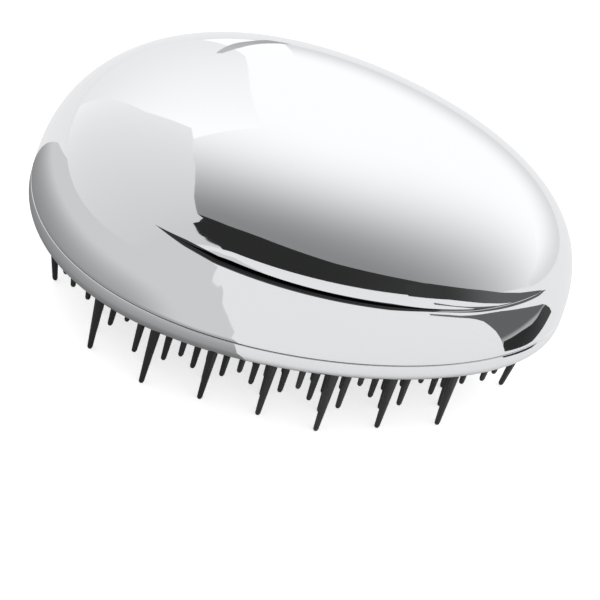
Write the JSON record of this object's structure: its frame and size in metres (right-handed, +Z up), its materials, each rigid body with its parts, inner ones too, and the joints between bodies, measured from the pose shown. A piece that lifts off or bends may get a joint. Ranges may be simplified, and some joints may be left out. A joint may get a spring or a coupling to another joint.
{
  "type": "hair grooming brush",
  "caption": "Palm-held detangling hair brush: an egg-shaped chrome-finished shell with finger creases over a black pad of fine teeth in graded lengths.",
  "frame": {"origin": "on the plane of the long teeth's ends, under the middle of the egg-shaped outline", "axes": "+X towards the narrow end of the egg, +Z up through the dome, teeth pointing to -Z"},
  "size_m": [0.09, 0.0648, 0.0454],
  "materials": {
    "chrome_finish": "bright chrome plating on moulded plastic",
    "pad_black": "satin black soft plastic, moulded in one with its teeth",
    "plate_black": "matt black rigid plastic",
    "screw_steel": "plain steel"
  },
  "bodies": {
    "root": {"top_shell": "chrome_finish", "rim_ring": "chrome_finish", "bristle_pad": "pad_black", "backing_plate": "plate_black", "case_screw_1": "screw_steel", "case_screw_2": "screw_steel", "case_screw_3": "screw_steel", "case_screw_4": "screw_steel"}
  },
  "joints": []
}
